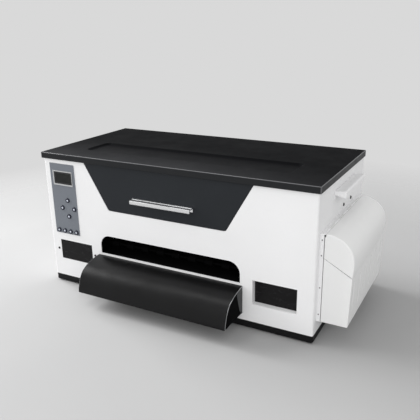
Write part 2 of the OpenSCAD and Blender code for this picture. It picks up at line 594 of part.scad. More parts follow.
module ink_manifold() color([0.2, 0.2, 0.22]) place() {
  box(hw - 20, hw - 8, 34, 286, tube_z - 7, tube_z + 7);
  for (y = tank_ys) xcyl(y, tube_z, hw - 8, hw + 13, 2.5);
}
module tank_cover() color([0.95, 0.95, 0.93]) place() difference() {
  union() {
    tank_slab(tank_y0, tank_y1) polygon(concat(cover_line, rev(beside(cover_line, tank_t))));
    // end walls
    for (y = [tank_y0, tank_y1 - tank_t]) tank_slab(y, y + tank_t)
      polygon(concat(cover_line, [[9.6, 183.1], [9.6, 229], [11.7, 232]]));
    // moving knuckles
    for (i = [1 : 2 : 7]) tank_slab(tank_y0 + i * knuckle + 0.2, tank_y0 + (i + 1) * knuckle - 0.2) {
      translate(cover_ax) circle(1.8);
      translate([9.4, 234.4]) square([2.6, 1.6]);
    }
  }
  tank_slab(tank_y0 - 1, tank_y1 + 1) translate(cover_ax) circle(0.95);
  // sloped parting plane, 0.8 above the housing
  tank_slab(tank_y0 - 1, tank_y1 + 1) polygon([[5, 188.03], [80, 146.5], [80, 120], [5, 120]]);
}

base_tray();
rubber_feet();
front_panel();
left_side_panel();
right_side_panel();
rear_panel();
control_plate();
screen_bezel();
screen();
key_board();
left_window_pane();
right_window_recess();
right_window_pane();
case_screws();
output_guide();
guide_brackets();
mechanism_side_plates();
cross_beam();
platen();
guide_rod();
rear_rail();
drive_belt();
drive_motors();
pinch_bracket();
capping_unit();
spindle_brackets();
power_supply();
main_board();
fan_frame();
power_inlet();
carry_handles();
hinge_fixed_leaves();
tank_plate();
tank_housing();
ink_reservoirs();
ink_manifold();
lid_shell();
front_flap();
lid_pull();
hinge_moving_leaves();
tank_cover();
print_carriage();
print_head();
motor_pulley();
idler_pulley();
feed_roller();
feed_pinion();
pinch_rollers();
exit_roller();
film_spindle();
fan_rotor();
power_switch();
key_up();
key_left();
key_right();
key_down();
row_key_1();
row_key_2();
row_key_3();
row_key_4();
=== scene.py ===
import bpy, bmesh, json, math, random
from math import sin, cos, radians, pi
from mathutils import Vector, Matrix


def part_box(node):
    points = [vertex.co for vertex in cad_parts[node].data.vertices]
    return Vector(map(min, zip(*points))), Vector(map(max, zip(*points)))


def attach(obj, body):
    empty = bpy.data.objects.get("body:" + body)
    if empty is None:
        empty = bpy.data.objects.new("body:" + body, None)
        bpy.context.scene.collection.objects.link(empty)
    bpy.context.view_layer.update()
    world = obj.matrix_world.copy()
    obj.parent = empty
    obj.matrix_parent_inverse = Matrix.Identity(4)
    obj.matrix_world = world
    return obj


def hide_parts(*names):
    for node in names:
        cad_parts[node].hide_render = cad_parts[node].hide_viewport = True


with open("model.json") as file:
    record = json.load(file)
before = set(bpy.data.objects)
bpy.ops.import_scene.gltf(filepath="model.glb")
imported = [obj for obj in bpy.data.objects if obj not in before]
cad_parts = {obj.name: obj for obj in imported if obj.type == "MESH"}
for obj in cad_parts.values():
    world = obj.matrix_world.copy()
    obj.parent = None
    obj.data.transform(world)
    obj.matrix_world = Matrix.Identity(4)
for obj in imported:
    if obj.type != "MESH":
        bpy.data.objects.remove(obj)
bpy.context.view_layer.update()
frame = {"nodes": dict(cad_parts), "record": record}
NODES = frame["nodes"]
scene = bpy.context.scene
random.seed(11)

# ------------------------------------------------------------------ places
TL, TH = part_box("base_tray")
HW = (TH.x - TL.x) / 2 * 1000            # half width of the case, mm
CX, FY, BZ = (TH.x + TL.x) / 2, TL.y, TL.z
CD = (TH.y - TL.y) * 1000
LL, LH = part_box("lid_shell")


def P(x, y, z):
    """case frame in mm (x from the centre, y from the front face, z from the tray's underside) to metres"""
    return Vector((CX + x / 1000, FY + y / 1000, BZ + z / 1000))


# ------------------------------------------------------------------ camera
cam_d = bpy.data.cameras.new("view_camera")
cam = bpy.data.objects.new("view_camera", cam_d)
scene.collection.objects.link(cam)
yaw, pitch, roll = radians(-28.61997), radians(18.84463), radians(-0.90619)
fwd = Vector((sin(yaw) * cos(pitch), cos(yaw) * cos(pitch), -sin(pitch)))
rgt = Vector((cos(yaw), -sin(yaw), 0))
upv = rgt.cross(fwd)
r2 = cos(roll) * rgt + sin(roll) * upv
u2 = -sin(roll) * rgt + cos(roll) * upv
M = Matrix((r2, u2, -fwd)).transposed().to_4x4()
M.translation = Vector((LL.x + 0.987627, LL.y - 0.959146, BZ + 0.629734))
cam.matrix_world = M
cam_d.sensor_width = 36.0
cam_d.lens = 553.7458 / 420 * 36.0
cam_d.clip_start, cam_d.clip_end = 0.05, 60
cam_d.dof.use_dof = False
scene.camera = cam
scene.view_settings.view_transform = "Standard"
scene.view_settings.look = "None"
scene.view_settings.exposure = 0.0
scene.view_settings.gamma = 1.0


# ------------------------------------------------------------------ materials
def lin(v):
    v /= 255.0
    return v / 12.92 if v <= 0.04045 else ((v + 0.055) / 1.055) ** 2.4


def rgb(r, g=None, b=None):
    g = r if g is None else g
    b = r if b is None else b
    return (lin(r), lin(g), lin(b), 1.0)


class Mat:
    """a Principled material built from nodes: noise-driven colour, roughness and bump"""

    def __init__(self, name, rough=0.5, metallic=0.0, spec=0.5, coat=0.0, coat_rough=0.1, ior=1.5):
        self.m = bpy.data.materials.new(name)
        self.m.use_nodes = True
        self.nt = self.m.node_tree
        self.b = self.nt.nodes["Principled BSDF"]
        self.b.inputs["Roughness"].default_value = rough
        self.b.inputs["Metallic"].default_value = metallic
        self.b.inputs["Specular IOR Level"].default_value = spec
        self.b.inputs["IOR"].default_value = ior
        self.b.inputs["Coat Weight"].default_value = coat
        self.b.inputs["Coat Roughness"].default_value = coat_rough
        self.tc = self.nt.nodes.new("ShaderNodeTexCoord")
        self.height = None

    def n(self, kind, **props):
        x = self.nt.nodes.new(kind)
        for k, v in props.items():
            setattr(x, k, v)
        return x

    def link(self, a, b):
        self.nt.links.new(a, b)

    def coords(self, scale=(1, 1, 1), rot=(0, 0, 0), loc=(0, 0, 0)):
        mp = self.n("ShaderNodeMapping")
        mp.inputs["Scale"].default_value = scale
        mp.inputs["Rotation"].default_value = rot
        mp.inputs["Location"].default_value = loc
        self.link(self.tc.outputs["Object"], mp.inputs["Vector"])
        return mp.outputs["Vector"]

    def noise(self, scale, detail=3.0, rough=0.55, stretch=(1, 1, 1), distortion=0.0):
        x = self.n("ShaderNodeTexNoise")
        x.inputs["Scale"].default_value = scale
        x.inputs["Detail"].default_value = detail
        x.inputs["Roughness"].default_value = rough
        x.inputs["Distortion"].default_value = distortion
        self.link(self.coords(stretch), x.inputs["Vector"])
        return x.outputs["Fac"]

    def voronoi(self, scale, feature="F1", stretch=(1, 1, 1)):
        x = self.n("ShaderNodeTexVoronoi", feature=feature)
        x.inputs["Scale"].default_value = scale
        self.link(self.coords(stretch), x.inputs["Vector"])
        return x.outputs["Distance"]

    def remap(self, fac, a, b, c, d):
        x = self.n("ShaderNodeMapRange")
        x.inputs["From Min"].default_value = a
        x.inputs["From Max"].default_value = b
        x.inputs["To Min"].default_value = c
        x.inputs["To Max"].default_value = d
        self.link(fac, x.inputs["Value"])
        return x.outputs["Result"]

    def mix(self, fac, c1, c2):
        x = self.n("ShaderNodeMix", data_type="RGBA")
        self.link(fac, x.inputs["Factor"])
        for s, c in ((x.inputs[6], c1), (x.inputs[7], c2)):
            if isinstance(c, tuple):
                s.default_value = c
            else:
                self.link(c, s)
        return x.outputs[2]

    def math(self, op, a, b):
        x = self.n("ShaderNodeMath", operation=op)
        for i, v in enumerate((a, b)):
            if isinstance(v, (int, float)):
                x.inputs[i].default_value = v
            else:
                self.link(v, x.inputs[i])
        return x.outputs[0]

    def color(self, out):
        if isinstance(out, tuple):
            self.b.inputs["Base Color"].default_value = out
        else:
            self.link(out, self.b.inputs["Base Color"])
        return self

    def rough(self, out):
        self.link(out, self.b.inputs["Roughness"])
        return self

    def bump(self, fac, strength=0.2, distance=0.0002):
        x = self.n("ShaderNodeBump")
        x.inputs["Strength"].default_value = strength
        x.inputs["Distance"].default_value = distance
        self.link(fac, x.inputs["Height"])
        if self.height is not None:
            self.link(self.height, x.inputs["Normal"])
        self.height = x.outputs["Normal"]
        self.link(self.height, self.b.inputs["Normal"])
        return self


def shade(c, k):
    return (c[0] * k, c[1] * k, c[2] * k, 1.0)


def coated(name, col, rough=0.42, peel=0.12, peel_scale=700, var=0.05, spec=0.5, coat=0.0, dust=None, metallic=0.0):
    """powder coat or paint: orange peel, slow tone drift, faint handling marks in the roughness"""
    m = Mat(name, rough, metallic, spec, coat, 0.18)
    slow = m.noise(7, 4, 0.6)
    fine = m.noise(190, 3, 0.6)
    c = m.mix(m.remap(slow, 0.3, 0.7, 0, 1), shade(col, 1 - var), shade(col, 1 + var * 0.5))
    c = m.mix(m.remap(fine, 0.35, 0.75, 0, 0.35), c, shade(col, 1 - var * 1.4))
    if dust is not None:
        specks = m.noise(1500, 2, 0.7)
        c = m.mix(m.remap(specks, 0.66, 0.8, 0, 0.5), c, dust)
    m.color(c)
    marks = m.noise(16, 5, 0.65, (1, 1, 2.2), 0.6)
    m.rough(m.remap(m.math("ADD", marks, m.math("MULTIPLY", fine, 0.4)), 0.45, 0.95, rough - 0.05, rough + 0.09))
    m.bump(m.noise(peel_scale, 2, 0.5), peel, 0.00012)
    m.bump(m.noise(55, 2, 0.5), peel * 0.35, 0.0006)
    return m.m


def moulded(name, col, rough=0.5, grain=1500, strength=0.25, var=0.05, spec=0.45):
    """injection-moulded plastic with a spark-eroded grain and soft flow marks"""
    m = Mat(name, rough, 0.0, spec)
    flow = m.noise(9, 4, 0.6, (1, 1, 0.35), 1.2)
    fine = m.noise(grain, 2, 0.6)
    c = m.mix(m.remap(flow, 0.3, 0.7, 0, 1), shade(col, 1 - var), shade(col, 1 + var * 0.4))
    m.color(m.mix(m.remap(fine, 0.4, 0.8, 0, 0.3), c, shade(col, 1 - var * 2)))
    m.rough(m.remap(m.noise(26, 5, 0.6), 0.3, 0.7, rough - 0.06, rough + 0.08))
    m.bump(fine, strength, 0.00008)
    m.bump(m.voronoi(grain * 0.45, "SMOOTH_F1"), strength * 0.5, 0.0001)
    return m.m


def brushed(name, col, rough=0.3, axis="x", metallic=1.0, amount=0.5, fine=900, tint=0.12, spots=True):
    """drawn or ground metal: streaks along one axis in colour, roughness and bump"""
    m = Mat(name, rough, metallic, 0.5)
    st = {"x": (0.02, 1, 1), "y": (1, 0.02, 1), "z": (1, 1, 0.02)}[axis]
    streak = m.noise(fine, 3, 0.6, st)
    slow = m.noise(14, 4, 0.6)
    c = m.mix(m.remap(streak, 0.35, 0.65, 0, 1), shade(col, 1 - tint), shade(col, 1 + tint * 0.4))
    if spots:
        c = m.mix(m.remap(slow, 0.45, 0.8, 0, 0.5), c, shade(col, 1 - tint * 2))
    m.color(c)
    m.rough(m.remap(m.math("ADD", streak, m.math("MULTIPLY", slow, 0.6)), 0.6, 1.1, rough - 0.07, rough + 0.13))
    m.bump(streak, amount, 0.00005)
    return m.m


def spangled(name, col, rough=0.38):
    """zinc-plated sheet: broad crystal patches"""
    m = Mat(name, rough, 1.0, 0.5)
    v = m.n("ShaderNodeTexVoronoi", feature="F1")
    v.inputs["Scale"].default_value = 120
    m.link(m.coords(), v.inputs["Vector"])
    g = m.n("ShaderNodeRGBToBW")
    m.link(v.outputs["Color"], g.inputs[0])
    tone = g.outputs[0]
    c = m.mix(m.remap(tone, 0.2, 0.8, 0, 1), shade(col, 0.86), shade(col, 1.05))
    m.color(m.mix(m.remap(m.noise(30, 4, 0.6), 0.45, 0.8, 0, 0.5), c, shade(col, 0.75)))
    m.rough(m.remap(tone, 0.1, 0.9, rough - 0.08, rough + 0.12))
    m.bump(m.noise(500, 3, 0.6), 0.15, 0.0001)
    return m.m


def rubber(name, col, rough=0.75):
    m = Mat(name, rough, 0.0, 0.35)
    fine = m.noise(1100, 3, 0.6)
    m.color(m.mix(m.remap(m.noise(40, 4, 0.6), 0.35, 0.75, 0, 1), shade(col, 0.85), shade(col, 1.35)))
    m.rough(m.remap(fine, 0.3, 0.7, rough - 0.1, min(rough + 0.12, 1.0)))
    m.bump(fine, 0.4, 0.00012)
    return m.m


def glossy(name, col, rough=0.12, smear=0.1, spec=0.5, coat=0.0):
    """polished sheet plastic or glass front with faint smears"""
    m = Mat(name, rough, 0.0, spec, coat, 0.05)
    sm = m.noise(22, 5, 0.65, (1, 1, 3), 1.5)
    m.color(m.mix(m.remap(sm, 0.4, 0.75, 0, 1), col, shade(col, 1.6)))
    m.rough(m.remap(sm, 0.35, 0.75, rough, rough + smear))
    m.bump(m.noise(30, 2, 0.5), 0.05, 0.0005)
    return m.m


def board(name):
    m = Mat(name, 0.4, 0.0, 0.5, 0.3, 0.2)
    br = m.n("ShaderNodeTexBrick")
    br.inputs["Scale"].default_value = 160
    br.inputs["Mortar Size"].default_value = 0.03
    br.inputs["Color1"].default_value = (0.012, 0.10, 0.045, 1)
    br.inputs["Color2"].default_value = (0.016, 0.13, 0.06, 1)
    br.inputs["Mortar"].default_value = (0.05, 0.24, 0.10, 1)
    m.link(m.coords((1, 1, 1), (0, 0, radians(45))), br.inputs["Vector"])
    m.color(m.mix(m.remap(m.noise(60, 3), 0.4, 0.7, 0, 0.5), br.outputs["Color"], (0.008, 0.07, 0.035, 1)))
    m.rough(m.remap(m.noise(200, 2), 0.3, 0.7, 0.32, 0.5))
    m.bump(br.outputs["Fac"], 0.3, 0.00005)
    return m.m


WHITE = rgb(238, 238, 238)
M_WHITE = coated("white_powder_coat", (0.84, 0.84, 0.845, 1), 0.45, 0.10, 800, 0.02)
M_WHITE_IN = coated("white_coat_inside", (0.74, 0.74, 0.74, 1), 0.6, 0.2, 800, 0.04)


def lid_coat():
    """satin black coat with a painted sheen: paler along the front edge and towards the left, darker to the back"""
    m = Mat("lid_black_coat", 0.42, 0.0, 0.004, 0.0, 0.18)
    sep = m.n("ShaderNodeSeparateXYZ")
    m.link(m.coords(), sep.inputs[0])
    # painted sheen: a lighter colour at the front edge and the left end of the lid top, fading to the back
    painted_sheen_depth = m.remap(sep.outputs["Y"], P(0, -4, 0).y, P(0, 210, 0).y, 1.0, 0.0)
    painted_sheen_side = m.remap(sep.outputs["X"], P(40, 0, 0).x, P(340, 0, 0).x, 1.0, 0.35)
    f = m.math("MULTIPLY", m.math("MULTIPLY", painted_sheen_depth, painted_sheen_depth), painted_sheen_side)
    slow = m.noise(7, 4, 0.6)
    c = m.mix(f, (0.0042, 0.0044, 0.005, 1), (0.030, 0.0305, 0.0325, 1))
    c = m.mix(m.remap(slow, 0.35, 0.7, 0, 0.18), c, (0.003, 0.003, 0.0034, 1))
    fine = m.noise(190, 3, 0.6)
    m.color(m.mix(m.remap(fine, 0.4, 0.8, 0, 0.12), c, (0.002, 0.002, 0.002, 1)))
    m.rough(m.remap(m.noise(16, 5, 0.65), 0.3, 0.7, 0.38, 0.5))
    m.bump(m.noise(900, 2, 0.5), 0.04, 0.00012)
    return m.m


M_LID = lid_coat()
M_LIP = coated("lid_edge_coat", (0.017, 0.018, 0.0195, 1), 0.42, 0.10, 900, 0.10, 0.14)
# lighter grey coat for the lid's rounded top edges and upper corners: a painted highlight
M_EDGE_HIGHLIGHT = coated("painted_highlight_edge_coat", (0.11, 0.112, 0.118, 1), 0.32, 0.2, 1200, 0.25, 0.6)
M_SLATE = coated("slate_coat", (0.020, 0.0225, 0.026, 1), 0.46, 0.10, 900, 0.10, 0.14)
M_BLACK = coated("black_satin_coat", (0.007, 0.007, 0.0075, 1), 0.42, 0.12, 1000, 0.2, 0.14)
M_GUIDE = coated("guide_satin_coat", (0.0035, 0.0035, 0.0038, 1), 0.34, 0.05, 1100, 0.2, 0.22)
M_MATTE = coated("matte_black_coat", (0.0028, 0.0028, 0.003, 1), 0.75, 0.1, 1000, 0.2, 0.03)
M_CUT = brushed("cut_edge_metal", (0.55, 0.56, 0.57, 1), 0.35, "z")
M_TANK = moulded("tank_white_plastic", (0.83, 0.832, 0.828, 1), 0.42, 1700, 0.16, 0.015)
M_TANK_IN = moulded("tank_inside_plastic", (0.7, 0.7, 0.69, 1), 0.5, 1300, 0.2, 0.03)
M_PANEL = coated("control_film", (0.165, 0.18, 0.205, 1), 0.5, 0.25, 2400, 0.06, 0.4)
M_BEZEL = moulded("screen_frame_plastic", (0.45, 0.455, 0.46, 1), 0.4, 1500, 0.2)
M_SCREEN = glossy("screen_glass", (0.011, 0.0118, 0.011, 1), 0.14, 0.08, 0.2)
M_PANE = glossy("tinted_pane", (0.0075, 0.0072, 0.0076, 1), 0.2, 0.12, 0.14)
M_KEY = moulded("key_dark_plastic", (0.012, 0.013, 0.03, 1), 0.32, 1800, 0.15)
M_KEYC = moulded("key_pale_centre", (0.62, 0.66, 0.74, 1), 0.35, 1800, 0.12)
M_ALU = brushed("drawn_aluminium", (0.86, 0.865, 0.875, 1), 0.26, "x", 1.0, 0.5, 1200, 0.06)
M_ZINC = spangled("zinc_sheet", (0.62, 0.63, 0.65, 1))
M_STEEL = brushed("ground_steel", (0.62, 0.63, 0.64, 1), 0.22, "x", 1.0, 0.3, 1500, 0.08)
M_GRIT = brushed("grit_roller", (0.36, 0.36, 0.37, 1), 0.5, "y", 0.9, 0.9, 1400, 0.2)
M_NICKEL = brushed("nickel_plate", (0.6, 0.57, 0.48, 1), 0.3, "y", 1.0, 0.4)
M_PLASTIC = moulded("black_moulding", (0.014, 0.014, 0.0145, 1), 0.48, 1400, 0.4, 0.15)
M_PLASTIC2 = moulded("dark_grey_moulding", (0.035, 0.036, 0.038, 1), 0.52, 1400, 0.35, 0.12)
M_RUBBER = rubber("black_rubber", (0.012, 0.012, 0.012, 1))
M_GREY_RUBBER = rubber("grey_roller_rubber", (0.07, 0.07, 0.072, 1))
M_SCREW = coated("blackened_screw", (0.012, 0.012, 0.013, 1), 0.33, 0.3, 1600, 0.3, 0.6, metallic=0.6)
M_CLEAR = moulded("milky_tank_plastic", (0.70, 0.715, 0.72, 1), 0.3, 900, 0.12, 0.04)
M_ACETAL = moulded("natural_acetal", (0.74, 0.72, 0.64, 1), 0.38, 1200, 0.15, 0.05)
M_BOARD = board("green_board")
M_CHIP = moulded("chip_black", (0.01, 0.01, 0.011, 1), 0.55, 2400, 0.3, 0.1)
M_GOLD = brushed("gold_contacts", (0.8, 0.55, 0.2, 1), 0.3, "y", 1.0, 0.2)
M_COPPER = brushed("copper_winding", (0.6, 0.24, 0.1, 1), 0.35, "z", 1.0, 0.6, 700, 0.3)
M_CAPTOP = brushed("capacitor_can", (0.66, 0.67, 0.68, 1), 0.3, "z", 1.0, 0.3)
M_IVORY = moulded("ivory_connector", (0.68, 0.64, 0.5, 1), 0.45, 1500, 0.2, 0.06)


# ------------------------------------------------------------------ mesh helpers
def smooth_by_angle(me, deg):
    for p in me.polygons:
        p.use_smooth = True
    me.set_sharp_from_angle(angle=radians(deg))


def settle(o, deg=32, weighted=True):
    """applies the modifiers, so the object carries its final mesh"""
    if weighted:
        smooth_by_angle(o.data, deg)
        w = o.modifiers.new("wn", "WEIGHTED_NORMAL")
        w.keep_sharp = True
        w.weight = 60
    bpy.context.view_layer.update()
    dg = bpy.context.evaluated_depsgraph_get()
    me = bpy.data.meshes.new_from_object(o.evaluated_get(dg), preserve_all_data_layers=True, depsgraph=dg)
    o.modifiers.clear()
    old = o.data
    o.data = me
    me.name = o.name
    bpy.data.meshes.remove(old)
    if not weighted:
        smooth_by_angle(o.data, deg)
    return o


def obj_from(name, bm, mats):
    me = bpy.data.meshes.new(name)
    bmesh.ops.recalc_face_normals(bm, faces=bm.faces)
    bm.to_mesh(me)
    bm.free()
    o = bpy.data.objects.new(name, me)
    scene.collection.objects.link(o)
    for m in (mats if isinstance(mats, (list, tuple)) else [mats]):
        me.materials.append(m)
    return o


def bevel(o, w_mm, seg=2, deg=30, material=-1):
    b = o.modifiers.new("bevel", "BEVEL")
    b.width = w_mm / 1000
    b.segments = seg
    b.limit_method = "ANGLE"
    b.angle_limit = radians(deg)
    b.use_clamp_overlap = True
    b.material = material
    b.miter_outer = "MITER_SHARP"
    return b


def done(o, body, replaces=()):
    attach(o, body)
    if replaces:
        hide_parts(*replaces)
    return o


BODY_OF = {n: b for b, ns in frame["record"]["behaviour"]["bodies"].items() for n in ns}


def refine(node, mats, w=0.35, seg=2, deg=32, smooth=34, name=None, pick=None, merge=1e-5):
    """the CAD piece with its edges broken by a small bevel, as a new mesh that stands for the node"""
    src = NODES[node]
    bm = bmesh.new()
    bm.from_mesh(src.data)
    bmesh.ops.remove_doubles(bm, verts=bm.verts, dist=merge)
    bmesh.ops.dissolve_limit(bm, angle_limit=radians(0.6), verts=bm.verts, edges=bm.edges)
    for f in bm.faces:
        f.material_index = 0
    o = obj_from(name or node + "_shape", bm, mats)
    if pick is not None:
        for p in o.data.polygons:
            p.material_index = pick(p.center, p.normal)
    if w > 0:
        bevel(o, w, seg, deg)
    settle(o, smooth)
    return done(o, BODY_OF[node], (node,))


def tube_between(bm, a, b, r, n=16, caps=True, mat=0):
    """round bar from a to b"""
    d = (b - a).normalized()
    s = d.orthogonal().normalized()
    t = d.cross(s)
    rings = []
    for p in (a, b):
        rings.append([bm.verts.new(p + r * (cos(2 * pi * i / n) * s + sin(2 * pi * i / n) * t)) for i in range(n)])
    for i in range(n):
        f = bm.faces.new((rings[0][i], rings[0][(i + 1) % n], rings[1][(i + 1) % n], rings[1][i]))
        f.material_index = mat
    if caps:
        for rg in (rings[0][::-1], rings[1]):
            f = bm.faces.new(rg)
            f.material_index = mat


def lathe(bm, profile, centre, axis, n=32, mat=0):
    """turned shape: profile is a list of (radius, distance along axis) in metres, closed at radius 0"""
    axis = axis.normalized()
    s = axis.orthogonal().normalized()
    t = axis.cross(s)
    rings = []
    for r, h in profile:
        if r < 1e-9:
            rings.append([bm.verts.new(centre + axis * h)])
        else:
            rings.append([bm.verts.new(centre + axis * h + r * (cos(2 * pi * i / n) * s + sin(2 * pi * i / n) * t)) for i in range(n)])
    for a, b in zip(rings[:-1], rings[1:]):
        for i in range(n):
            j = (i + 1) % n
            if len(a) == 1 and len(b) == 1:
                continue
            if len(a) == 1:
                f = bm.faces.new((a[0], b[j], b[i]))
            elif len(b) == 1:
                f = bm.faces.new((a[i], a[j], b[0]))
            else:
                f = bm.faces.new((a[i], a[j], b[j], b[i]))
            f.material_index = mat


def block(bm, lo, hi, mat=0, ch=0.0):
    """a block between two corners, its upper edges drawn in by ch"""
    x0, y0, z0 = lo
    x1, y1, z1 = hi
    if ch > 0:
        pts = [(x0, y0, z0), (x1, y0, z0), (x1, y1, z0), (x0, y1, z0),
               (x0, y0, z1 - ch), (x1, y0, z1 - ch), (x1, y1, z1 - ch), (x0, y1, z1 - ch),
               (x0 + ch, y0 + ch, z1), (x1 - ch, y0 + ch, z1), (x1 - ch, y1 - ch, z1), (x0 + ch, y1 - ch, z1)]
        fs = [(3, 2, 1, 0), (0, 1, 5, 4), (1, 2, 6, 5), (2, 3, 7, 6), (3, 0, 4, 7),
              (4, 5, 9, 8), (5, 6, 10, 9), (6, 7, 11, 10), (7, 4, 8, 11), (8, 9, 10, 11)]
    else:
        pts = [(x0, y0, z0), (x1, y0, z0), (x1, y1, z0), (x0, y1, z0), (x0, y0, z1), (x1, y0, z1), (x1, y1, z1), (x0, y1, z1)]
        fs = [(3, 2, 1, 0), (0, 1, 5, 4), (1, 2, 6, 5), (2, 3, 7, 6), (3, 0, 4, 7), (4, 5, 6, 7)]
    vs = [bm.verts.new(p) for p in pts]
    for f in fs:
        g = bm.faces.new([vs[i] for i in f])
        g.material_index = mat


def blockmm(bm, x0, x1, y0, y1, z0, z1, mat=0, ch=0.0):
    block(bm, P(x0, y0, z0), P(x1, y1, z1), mat, ch / 1000)


def catmull(pts, n):
    out = []
    for i in range(len(pts) - 1):
        p0, p1, p2, p3 = pts[max(i - 1, 0)], pts[i], pts[i + 1], pts[min(i + 2, len(pts) - 1)]
        for k in range(n):
            t = k / n
            out.append(tuple(0.5 * (2 * b + (c - a) * t + (2 * a - 5 * b + 4 * c - d) * t * t + (3 * b - a - 3 * c + d) * t ** 3)
                             for a, b, c, d in zip(p0, p1, p2, p3)))
    out.append(tuple(pts[-1]))
    return out


def offset_line(pts, d):
    out = []
    for i in range(len(pts)):
        a, b = pts[max(i - 1, 0)], pts[min(i + 1, len(pts) - 1)]
        ux, uy = b[0] - a[0], b[1] - a[1]
        l = math.hypot(ux, uy)
        out.append((pts[i][0] + d * uy / l, pts[i][1] - d * ux / l))
    return out


def rr(x0, x1, y0, y1, r, k=7):
    """rounded rectangle as a loop of (x, y), the corners in the same order each time"""
    out = []
    for cx, cy, a0 in ((x1 - r, y0 + r, -90), (x1 - r, y1 - r, 0), (x0 + r, y1 - r, 90), (x0 + r, y0 + r, 180)):
        for i in range(k + 1):
            a = radians(a0 + 90 * i / k)
            out.append((cx + r * cos(a), cy + r * sin(a)))
    return out


def loft(bm, loops, mats, cap0=None, cap1=None, closed=True, corner=None, k=7):
    """skins a list of loops of (x, y, z) in case mm; mats has one index per gap between loops"""
    rows = [[bm.verts.new(P(*p)) for p in lp] for lp in loops]
    n = len(rows[0])
    for j, (a, b) in enumerate(zip(rows[:-1], rows[1:])):
        for i in range(n if closed else n - 1):
            q = (i + 1) % n
            f = bm.faces.new((a[i], a[q], b[q], b[i]))
            f.material_index = mats[j]
            if corner is not None and j in corner and (i % (k + 1)) < k:
                f.material_index = corner[j]
    if cap0 is not None:
        f = bm.faces.new(rows[0][::-1])
        f.material_index = cap0
    if cap1 is not None:
        f = bm.faces.new(rows[-1])
        f.material_index = cap1
    return rows


built = set()


def keep(o, body, slot, *nodes):
    built.update(nodes)
    return done(o, body, nodes)


# ------------------------------------------------------------------ lid
LX, LY0, LY1, CT, LT = 350.0, -4.4, 336.1, 322.2, 336.7
bm = bmesh.new()
loops, mats = [], []


def ring(inset, z, r=1.8):
    return [(x, y, z) for x, y in rr(-LX + inset, LX - inset, LY0 + inset, LY1 - inset, max(r - inset, 0.3))]


def pan(grow, z, r):
    return [(x, y, z) for x, y in rr(-265 - grow, 262 + grow, 63.6 - grow, 145.6 + grow, r)]


loops += [pan(3, LT - 6.5, 15), pan(3, LT - 2.5, 15)]
mats += [2]
loops += [ring(2.4, LT - 2.5, 3.0)]
mats += [2]
loops += [ring(2.4, CT + 0.4, 3.0), ring(2.0, CT, 2.2), ring(0.4, CT, 2.2), ring(0, CT + 0.4)]
mats += [2, 1, 1, 1]
# the rounded top edge and the upper corners of the lip take the painted highlight coat (slot 3)
B = 1.25
loops.append(ring(0, LT - B))
mats.append(1)
for i in range(1, 6):
    a = radians(90 * i / 5)
    loops.append(ring(B * (1 - cos(a)), LT - B + B * sin(a)))
    mats.append(3)
loops.append(ring(9, LT, 9.5))
mats.append(0)
loops.append(pan(3.4, LT, 15.4))
mats.append(0)
for i in range(1, 11):
    t = i / 10
    s = t * t * (3 - 2 * t)
    loops.append(pan(3.4 - 6.4 * t, LT - 4 * s, 15.4 - 6.4 * t))
    mats.append(0)
loft(bm, loops, mats, cap0=2, cap1=0, corner={6: 3})
lid = obj_from("lid_cover", bm, [M_LID, M_LIP, M_BLACK, M_EDGE_HIGHLIGHT])
settle(lid, 28)
keep(lid, "lid", "lid_black", "lid_shell")

bm = bmesh.new()
blockmm(bm, -220, 208, LY0 + 2.4, 12, CT, CT + 2, 0)
for y in (196, 286):
    blockmm(bm, -318, 318, y, y + 26, LT - 2.5 - 1.2, LT - 2.4, 0)
    blockmm(bm, -316, 316, y + 4, y + 22, LT - 9, LT - 2.5, 0, 0.0)
o = obj_from("lid_ribs", bm, [M_BLACK])
bevel(o, 0.8, 2)
settle(o)
done(o, "lid")

# soft strip all round the lid's inner edge
bm = bmesh.new()
w = 5.5
for x0, x1, y0, y1 in ((-344, 344, 328, 328 + w), (-344, -344 + w, 14, 328), (344 - w, 344, 14, 328)):
    blockmm(bm, x0, x1, y0, y1, LT - 6.5, LT - 2.45, 0, 1.0)
o = obj_from("lid_seal", bm, [M_RUBBER])
bevel(o, 0.8, 2)
settle(o)
done(o, "lid")

refine("front_flap", [M_SLATE], 0.45, 2)
refine("lid_pull", [M_ALU], 0.3, 2, 25)
built.update(("front_flap", "lid_pull"))

# rivets that hold the pull, inside the flap
bm = bmesh.new()
for x in (-70, -6, 57):
    lathe(bm, [(0, 0.0), (0.0016, 0.0), (0.0030, 0.0003), (0.0034, 0.0009), (0.0034, 0.0014), (0, 0.0014)], P(x, 3.5, 249.5), Vector((0, -1, 0)), 20)
o = obj_from("pull_rivets", bm, [M_ALU])
settle(o, 40)
done(o, "lid")

# ------------------------------------------------------------------ output guide
GX0, GX1, GT = -197.6, 187.9, 1.5
GL = catmull([(0, 96), (10, 95.4), (20, 94), (32, 91.6), (44, 88.2), (54, 84.4), (63, 79.2), (70.5, 71), (76.4, 59.6), (80.6, 47), (83, 38.4), (83.7, 31)], 8)
GI = [p for p in offset_line(GL, GT) if p[0] > 1.9]
prof = [(0, 84)] + GL + GI[::-1] + [(1.5, 94.2), (1.5, 84)]
bm = bmesh.new()
xs = [GX0, GX0 + 0.35] + [GX0 + 6 + i * (GX1 - GX0 - 12) / 12 for i in range(13)] + [GX1 - 0.35, GX1]
cen = (40, 80)
loops = [[(x, -u, z) for u, z in prof] for x in xs]
loft(bm, loops, [1] + [0] * (len(xs) - 3) + [1], cap0=1, cap1=1)
guide = obj_from("guide_sheet", bm, [M_GUIDE, M_CUT])
settle(guide, 24)
keep(guide, "case", "black_sheet", "output_guide")

# ------------------------------------------------------------------ tank cover
TY0, TY1, TT = 18.0, 302.0, 2.5
PITCH = (TY1 - TY0) / 6
TANKS = [TY0 + PITCH * (i + 0.5) for i in range(6)]
AXU, AXZ = 9.4, 236.2


def zpart(u):
    """height of the cover's sloped lower edge"""
    return 188.03 - 0.5537 * (u - 5)


